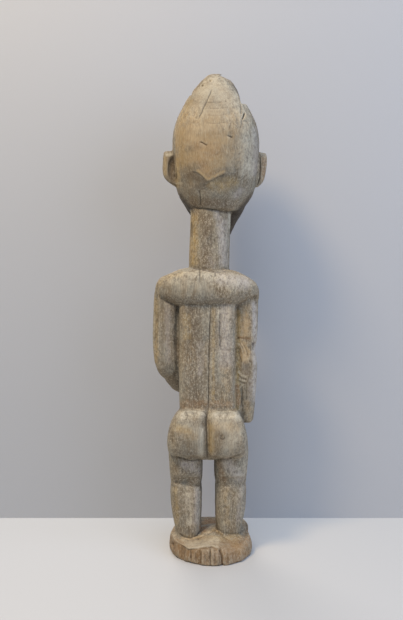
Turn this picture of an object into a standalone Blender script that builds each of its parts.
"""A standing shrine figure carved from one log, with the round base left under its feet.

Metres, +Z up. The figure faces -Y, so its left side is +X.
The origin is on the surface that the base stands on, under its middle.

Run it with: blender --background --python part.py
"""

import math

import bmesh
import bpy
import numpy as np
from mathutils import Matrix, Vector

MM = 0.001

# How finely the masses are fused into one block of wood.
VOXEL = 2.4 * MM
SHARE_OF_FACES_KEPT = 0.08

# Heights of the landmarks, from the floor up.
HEIGHT = 600 * MM
EYES = 482 * MM
CROTCH = 117 * MM
KNEE = 86 * MM
BASE_TOP = 23 * MM

# Where each part's middle lies to the figure's left (+X) of the origin.
BODY_X = 3.5 * MM
LEFT_LEG_X = 29.5 * MM
RIGHT_LEG_X = -26 * MM
NECK_X = -0.5 * MM
HEAD_X = -7 * MM

# Colour of the bare, weathered wood.
WOOD_COLOUR = (0.296, 0.238, 0.168, 1.0)
WOOD_ROUGHNESS = 0.86


def clear_scene():
    for obj in list(bpy.data.objects):
        bpy.data.objects.remove(obj, do_unlink=True)


def new_collection(name):
    made = bpy.data.collections.new(name)
    bpy.context.scene.collection.children.link(made)
    return made


def curve_through(stations, per_gap):
    """Rows on a smooth curve through the stations (Catmull-Rom), per_gap of them from each to the next."""
    rows = np.array(stations, float)
    rows = np.vstack([2 * rows[0] - rows[1], rows, 2 * rows[-1] - rows[-2]])
    t = np.linspace(0, 1, per_gap, endpoint=False)[:, None]
    found = []
    for before, start, end, after in zip(rows, rows[1:], rows[2:], rows[3:]):
        found.append(
            start
            + 0.5 * (end - before) * t
            + (before - 2.5 * start + 2 * end - 0.5 * after) * t**2
            + (1.5 * (start - end) + 0.5 * (after - before)) * t**3
        )
    return np.vstack([*found, rows[-2]])


def add_limb(bm, stations, across=(1, 0, 0), square=2.3, sides=40, per_gap=4, level=False):
    """A closed limb swept through its stations, each x, y, z, half width and half depth in millimetres.

    across is the direction of its width. square is 2 for a round section and more for a boxier one.
    Its sections stand square to its run, or lie level where level is set.
    """
    rows = curve_through(stations, per_gap)
    rows[:, 3:] = np.maximum(rows[:, 3:], 0.5)
    middles, halves = rows[:, :3], rows[:, 3:]
    angles = np.linspace(0, 2 * math.pi, sides, endpoint=False)
    outline = np.stack([np.cos(angles), np.sin(angles)], axis=1)
    outline = np.sign(outline) * np.abs(outline) ** (2 / square)
    rings = []
    for i, middle in enumerate(middles):
        along = Vector(middles[min(i + 1, len(rows) - 1)] - middles[max(i - 1, 0)]).normalized()
        if level:
            along = Vector((0, 0, math.copysign(1, along.z)))
        wide = Vector(across)
        wide = (wide - wide.dot(along) * along).normalized()
        deep = along.cross(wide)
        ring = []
        for u, v in (outline * halves[i]).tolist():
            ring.append(bm.verts.new((Vector(middle) + u * wide + v * deep) * MM))
        rings.append(ring)
    for low, high in zip(rings, rings[1:]):
        for k in range(sides):
            after = (k + 1) % sides
            bm.faces.new((low[k], low[after], high[after], high[k]))
    bm.faces.new(rings[0][::-1])
    bm.faces.new(rings[-1])


def add_lump(bm, middle, halves, turn=(0, 0, 0)):
    """An ellipsoid. The middle and half sizes are in millimetres, the turn in degrees about X, Y and Z."""
    turned = Matrix.Translation(Vector(middle) * MM)
    for angle, axis in zip(turn, "XYZ"):
        turned = turned @ Matrix.Rotation(math.radians(angle), 4, axis)
    sized = Matrix.Diagonal((*(Vector(halves) * MM), 1))
    bmesh.ops.create_uvsphere(bm, u_segments=32, v_segments=20, radius=1, matrix=turned @ sized)


def add_base(bm):
    """The end of the log left under the feet: a rough round with hewn, uneven sides."""
    half_width, half_depth = 50, 51.5
    flats = 17
    fullest = math.radians(118)  # the back right, where more of the log was left
    jitter = np.random.default_rng(7).uniform(-1, 1, (flats, 2))
    corners = []
    for k, (turn, reach) in enumerate(jitter):
        angle = 2 * math.pi * (k + 0.25 * turn) / flats
        swell = 1.01 + 0.012 * reach + 0.12 * max(0, math.cos(angle - fullest)) ** 2
        swell += 0.14 * max(0, -math.sin(angle)) * math.sin(2 * angle) ** 2  # squarer under the toes
        corners.append((half_width * swell * math.cos(angle), half_depth * swell * math.sin(angle)))
    top = BASE_TOP / MM
    levels = ((-4, 0.99), (1, 1.0), (8, 1.0), (15, 0.99), (top - 3, 0.97), (top, 0.93))
    rings = []
    for z, share in levels:
        rings.append([bm.verts.new((x * share * MM, y * share * MM, z * MM)) for x, y in corners])
    for low, high in zip(rings, rings[1:]):
        for k in range(flats):
            after = (k + 1) % flats
            bm.faces.new((low[k], low[after], high[after], high[k]))
    bm.faces.new(rings[0][::-1])
    bm.faces.new(rings[-1])
    # The top swells a little between the heels, where less wood was cut away.
    add_lump(bm, (0, 2, 17), (42, 44, 10))


def add_leg(bm, side, x, toes_out):
    """A stout leg: a foot, a calf, and a thigh that overhangs it at the back of the knee."""
    inward = -side * 1.0
    calf = (
        (x + 3.0 * inward, 3, 16, 15.0, 19.0),
        (x + 2.6 * inward, 3, 28, 15.8, 20.0),
        (x + 1.6 * inward, 2, 42, 17.8, 21.5),
        (x + 0.6 * inward, 1, 56, 19.2, 23.0),
        (x + 0.2 * inward, 0, 70, 19.8, 23.6),
        (x, -2, 82, 19.6, 22.0),
        (x, -3, 95, 17.0, 18.0),
    )
    add_limb(bm, calf, square=2.7)
    knee = KNEE / MM
    thigh = (
        (x, -4, knee - 3, 17.5, 20.0),
        (x, -3, knee + 0.5, 19.7, 23.5),
        (x, -2, 96, 20.6, 26.0),
        (x + 0.3 * side, -1, 110, 21.0, 28.0),
        (x + 0.4 * side, 0, 128, 21.4, 30.0),
        (x, 0, 150, 20.0, 28.0),
    )
    add_limb(bm, thigh, square=2.7)
    foot = (
        (x, 18, 20, 12, 5),
        (x + 0.2 * toes_out, 8, 20.5, 14, 7),
        (x + 0.6 * toes_out, -5, 21, 15.5, 7.5),
        (x + 0.9 * toes_out, -17, 20.5, 15.5, 7),
        (x + 0.9 * toes_out, -30, 20, 14, 6.5),
        (x + 0.8 * toes_out, -41, 20, 12.5, 4.5),
        (x + 0.8 * toes_out, -44, 19.5, 8, 3),
    )
    add_limb(bm, foot, square=2.6)


def add_hips(bm):
    x, crotch = BODY_X / MM, CROTCH / MM
    hips = (
        (x, 0, crotch, 36, 22),
        (x, 0, crotch + 5, 44, 28),
        (x, 0, 136, 46.0, 31),
        (x, -1, 150, 43.0, 31),
        (x, -2, 166, 37.0, 31),
        (x, -3, 182, 31, 30),
    )
    add_limb(bm, hips, square=2.6)


def add_buttock(bm, cleft_x, outline):
    """A full, rather square cushion that stands out behind, with a ledge on top and a crease below.

    outline gives its outer edge's x and its depth at each height.
    """
    buttock = []
    for z, outer_x, half_deep in outline:
        half_wide = abs(outer_x - cleft_x) / 2
        buttock.append(((outer_x + cleft_x) / 2, 17, z, half_wide, half_deep))
    add_limb(bm, buttock, square=2.8, level=True)


def add_torso(bm):
    """A straight column with a flat back and a gently swelling belly."""
    x = BODY_X / MM
    torso = (
        (x - 1.5, -1, 172, 34.0, 31),
        (x - 0.8, -2, 190, 34.2, 32.5),
        (x - 0.2, -4.5, 212, 34.4, 35.5),
        (x, -4, 235, 34.4, 34.5),
        (x, -1.5, 262, 34.4, 31.5),
        (x, 0, 290, 34.4, 31),
        (x, 0, 318, 34.4, 30),
    )
    add_limb(bm, torso, square=4.0)
    # The web of wood that was left in the deep grooves between the body and the arms.
    for side in (-1, 1):
        web = ((x + side * 35, -4, 214, 6, 11), (x + side * 35, -4, 322, 6, 11))
        add_limb(bm, web)


def add_yoke(bm):
    """The shoulders: one rounded bar across, that overhangs the flat of the back."""
    yoke = (
        (-60.5, 2, 319, 5, 10),
        (-59.0, 2, 320.5, 7.5, 16),
        (-55.5, 2, 323, 10.5, 21.5),
        (-49.5, 2, 326, 13.5, 26),
        (-41.0, 2, 328, 18.0, 30),
        (-27.0, 2, 328.5, 23.3, 34.5),
        (0.0, 2, 329, 26.0, 36),
        (26.0, 2, 329, 25.3, 35.5),
        (39.0, 2, 328.5, 21.8, 33),
        (51.0, 2, 327.5, 17.0, 29),
        (60.5, 2, 325, 12.5, 25),
        (66.5, 2, 321.5, 9, 20),
        (69.0, 2, 319, 5, 13),
    )
    yoke = [(x, y, z, deep, high) for x, y, z, high, deep in yoke]
    add_limb(bm, yoke, across=(0, 1, 0), square=2.9)


def add_left_arm(bm):
    """The upper arm hangs, and the forearm comes down and in across the belly, where the hand lies flat."""
    upper = (
        (53, 4, 332, 9, 14),
        (55.5, 3, 324, 14, 18),
        (56.5, 3, 312, 15.8, 19),
        (57.0, 2, 290, 16, 19),
        (57.1, 1, 265, 16, 19),
        (55.8, -1, 243, 15.5, 19),
        (52.5, -4, 229, 13, 17.5),
        (49.5, -7, 220, 8, 12),
    )
    add_limb(bm, upper, square=3.2)
    forearm = (
        (53, -3, 240, 12, 12),
        (50, -10, 229, 13.5, 14.5),
        (44, -20, 217, 13.5, 13.5),
        (37.5, -29, 207.5, 13, 12),
        (28, -36, 201, 12, 9.5),
        (15, -41, 199, 13.5, 6.5),
        (5, -42.5, 196.5, 12.5, 5),
        (-2, -42.5, 195, 7, 3.5),
    )
    add_limb(bm, forearm, across=(0, 0, 1), square=2.5)


def add_right_arm(bm):
    """The arm hangs straight at the side, down to a worn, stumpy hand beside the hip."""
    arm = (
        (-42, 4, 332, 9, 13),
        (-44, 3, 324, 13, 17.5),
        (-44.5, 3, 312, 14.5, 18.5),
        (-44.6, 2, 290, 14.5, 18.5),
        (-44.8, 2, 265, 14.2, 18.5),
        (-44.6, 1, 245, 13.4, 18),
        (-45.0, 0, 225, 13.4, 17.5),
        (-45.4, -2, 205, 13.0, 17),
        (-46.0, -4, 188, 11.5, 16),
        (-46.4, -6, 173, 10.0, 15),
        (-46.6, -7, 163, 8.5, 13),
        (-46.6, -7, 159, 5.5, 9),
    )
    add_limb(bm, arm, square=3.0)


def add_neck(bm):
    x = NECK_X / MM
    neck = (
        (x + 1.2, 2, 335, 26, 26),
        (x + 0.8, 2, 352, 25.2, 25.2),
        (x + 0.4, 2, 378, 25.4, 25.2),
        (x, 1, 405, 25.6, 25.4),
        (x - 0.8, 0, 430, 25.4, 26),
        (x - 2.0, -2, 450, 24, 26),
    )
    add_limb(bm, neck, square=2.2)


def add_head(bm):
    """A tall egg for the skull, and a wedge for the jaw that runs down to the chin in front of the neck."""
    x = HEAD_X / MM
    skull = (
        (x, -6, HEIGHT / MM, 5, 5),
        (x, -6, HEIGHT / MM - 3, 13, 14),
        (x, -5, 589, 20.5, 23),
        (x, -4, 578, 29, 33),
        (x, -3, 563, 39.5, 44),
        (x, -3, 545, 48.5, 52),
        (x, -3, 527, 53.8, 56),
        (x, -3, 508, 55.3, 57),
        (x, -4, 488, 53.6, 56),
        (x, -5, 470, 51.0, 53),
        (x, -6, 456, 47.0, 48),
        (x, -6, 443, 41.0, 42),
        (x, -5, 432, 34.0, 36),
        (x, -4, 426.5, 28.0, 31),
        (x, -4, 425, 18.0, 20),
    )
    add_limb(bm, skull, square=2.15, sides=48)
    jaw = (
        (x, -10, 486, 40, 40),
        (x, -16, 470, 48.5, 38.0),
        (x - 0.4, -20, 457, 48.0, 35.5),
        (x - 0.8, -25, 444, 42.5, 31.5),
        (x - 0.8, -29, 432, 35.2, 28.0),
        (x - 0.8, -33, 420, 27.6, 24.5),
        (x - 0.4, -37, 407, 21.5, 20.5),
        (x, -41, 396, 16.5, 15.0),
        (x, -43, 390, 11.5, 9.5),
    )
    add_limb(bm, jaw, square=2.3)


def add_ear(bm, side, middle, outline):
    """A thick tab that stands out from the side of the head, cut off square on top and rounded in below.

    outline gives, from the top down, how far out the ear reaches at each height and half its thickness.
    """
    ear = [(side * middle, 2, z, reach - middle, half_thick) for z, reach, half_thick in outline]
    add_limb(bm, ear, square=3.0, sides=24)


def add_face(bm):
    """A calm, plain face: arched brows, lidded eyes, a straight nose, closed lips and a rounded chin."""
    x = HEAD_X / MM
    brow_z = 500
    for side in (-1, 1):
        brow = (
            (x + side * 2, -57.5, brow_z - 3, 3.5, 4.5),
            (x + side * 14, -57, brow_z + 1, 3.5, 4.5),
            (x + side * 27, -51.5, brow_z + 1, 3.2, 4.5),
            (x + side * 40, -40, brow_z - 5, 2.6, 4.0),
            (x + side * 47, -30, brow_z - 12, 1.5, 2.5),
        )
        add_limb(bm, brow, across=(0, 0, 1), sides=16, per_gap=3)
        add_lump(bm, (x + side * 20, -51.5, EYES / MM), (12.5, 7, 7), turn=(0, -side * 6, side * 22))
    nose = (
        (x, -58, 502, 4.0, 5.0),
        (x, -59.5, 492, 4.6, 7.0),
        (x, -61.5, 478, 6.0, 9.5),
        (x, -63, 463, 8.5, 11.5),
        (x, -62, 456, 9.5, 10.5),
        (x, -58, 452.5, 7.0, 7.0),
    )
    add_limb(bm, nose, sides=20)
    for z, reach in ((438.5, 0.6), (431.5, 0)):
        lip = (
            (x - 14, -50.5, z - 0.4, 1.5, 3.0),
            (x - 8, -54.5 - reach, z, 3.4, 5.0),
            (x, -56 - reach, z + 0.3, 3.9, 5.6),
            (x + 8, -54.5 - reach, z, 3.4, 5.0),
            (x + 14, -50.5, z - 0.4, 1.5, 3.0),
        )
        add_limb(bm, lip, across=(0, 0, 1), sides=16, per_gap=3)
    add_lump(bm, (x, -47, 403), (15, 11, 12))


def add_chest(bm):
    """Low pectorals and a small raised navel on the plain front."""
    x = BODY_X / MM
    for side in (-1, 1):
        add_lump(bm, (x + side * 16.5, -24, 296), (15, 9, 15), turn=(12, 0, 0))
    add_lump(bm, (x, -38.5, 226), (5.5, 5, 5.5))


def wood():
    material = bpy.data.materials.new("weathered hardwood")
    material.use_nodes = True
    shader = material.node_tree.nodes["Principled BSDF"]
    shader.inputs["Base Color"].default_value = WOOD_COLOUR
    shader.inputs["Roughness"].default_value = WOOD_ROUGHNESS
    shader.inputs["Metallic"].default_value = 0
    return material


def add_groove(cutters, figure, name, line, half_width, depth):
    """A V-shaped groove cut along a line of x, y, z points in millimetres on the back."""
    bm = bmesh.new()
    outside = 6
    rings = []
    for x, y, z in line:
        corners = ((-half_width, outside), (half_width, outside), (0, -depth))
        rings.append([bm.verts.new(Vector((x + u, y + v, z)) * MM) for u, v in corners])
    for low, high in zip(rings, rings[1:]):
        for k in range(3):
            after = (k + 1) % 3
            bm.faces.new((low[k], low[after], high[after], high[k]))
    bm.faces.new(rings[0][::-1])
    bm.faces.new(rings[-1])
    bmesh.ops.recalc_face_normals(bm, faces=bm.faces)
    add_cutter(cutters, figure, name, bm)


def add_cutter(cutters, figure, name, bm):
    mesh = bpy.data.meshes.new(name)
    bm.to_mesh(mesh)
    bm.free()
    cutter = bpy.data.objects.new(name, mesh)
    cutter.hide_render = True
    cutter.display_type = "WIRE"
    cutters.objects.link(cutter)
    cut = figure.modifiers.new(name, "BOOLEAN")
    cut.operation = "DIFFERENCE"
    cut.solver = "EXACT"
    cut.object = cutter


def add_floor_cut(cutters, figure):
    """Everything below the floor is sawn off, which leaves the flat underside."""
    bm = bmesh.new()
    depth = 40 * MM
    size = Matrix.Diagonal((400 * MM, 400 * MM, depth, 1))
    bmesh.ops.create_cube(bm, size=1, matrix=Matrix.Translation((0, 0, -depth / 2)) @ size)
    add_cutter(cutters, figure, "floor_cut", bm)


def build():
    clear_scene()
    parts = new_collection("lobi_bateba_figure")
    cutters = new_collection("cutters")
    bm = bmesh.new()
    add_base(bm)
    add_leg(bm, 1, LEFT_LEG_X / MM, -4)
    add_leg(bm, -1, RIGHT_LEG_X / MM, -9.5)
    add_hips(bm)
    left_buttock = (
        (182.5, 31, 15),
        (180, 35.5, 20),
        (173, 40.5, 24.5),
        (164, 46.0, 27),
        (154, 49.5, 28),
        (141, 51.5, 27.5),
        (129, 50.5, 24),
        (123, 46, 17),
    )
    add_buttock(bm, 4.0, left_buttock)
    right_buttock = (
        (181.5, -29, 15),
        (179, -33.0, 20),
        (172, -37.5, 24.5),
        (162, -42.0, 27),
        (152, -44.2, 28),
        (141, -45.0, 27.5),
        (128, -44.5, 24),
        (122, -40, 17),
    )
    add_buttock(bm, 2.4, right_buttock)
    add_torso(bm)
    add_chest(bm)
    add_yoke(bm)
    add_left_arm(bm)
    add_right_arm(bm)
    add_neck(bm)
    add_head(bm)
    left_ear = (
        (503.5, 58.0, 6.0),
        (500, 59.4, 7.0),
        (492, 59.8, 7.5),
        (480, 59.6, 7.5),
        (474, 57.6, 7.0),
        (468, 52.5, 6.0),
        (462.5, 45.0, 4.0),
    )
    add_ear(bm, 1, 36, left_ear)
    right_ear = (
        (501.5, 70.0, 5.5),
        (498, 71.8, 6.5),
        (491, 72.4, 7.0),
        (480, 71.4, 7.0),
        (470, 69.4, 6.5),
        (463, 66.0, 5.5),
        (458.5, 61.0, 4.0),
    )
    add_ear(bm, -1, 50, right_ear)
    add_face(bm)
    mesh = bpy.data.meshes.new("figure")
    bm.to_mesh(mesh)
    bm.free()
    mesh.materials.append(wood())
    figure = bpy.data.objects.new("figure", mesh)
    parts.objects.link(figure)
    fuse = figure.modifiers.new("fuse", "REMESH")
    fuse.mode = "VOXEL"
    fuse.voxel_size = VOXEL
    soften = figure.modifiers.new("soften", "SMOOTH")
    soften.factor = 0.5
    soften.iterations = 2
    thin = figure.modifiers.new("thin", "DECIMATE")
    thin.decimate_type = "COLLAPSE"
    thin.use_collapse_triangulate = True
    thin.ratio = SHARE_OF_FACES_KEPT
    add_groove(
        cutters,
        figure,
        "spine_cut",
        ((-2, 32, 306), (0, 32, 270), (1, 32, 235), (1.5, 32, 205), (2, 32, 180)),
        1.8,
        3.5,
    )
    add_floor_cut(cutters, figure)
    return figure


build()
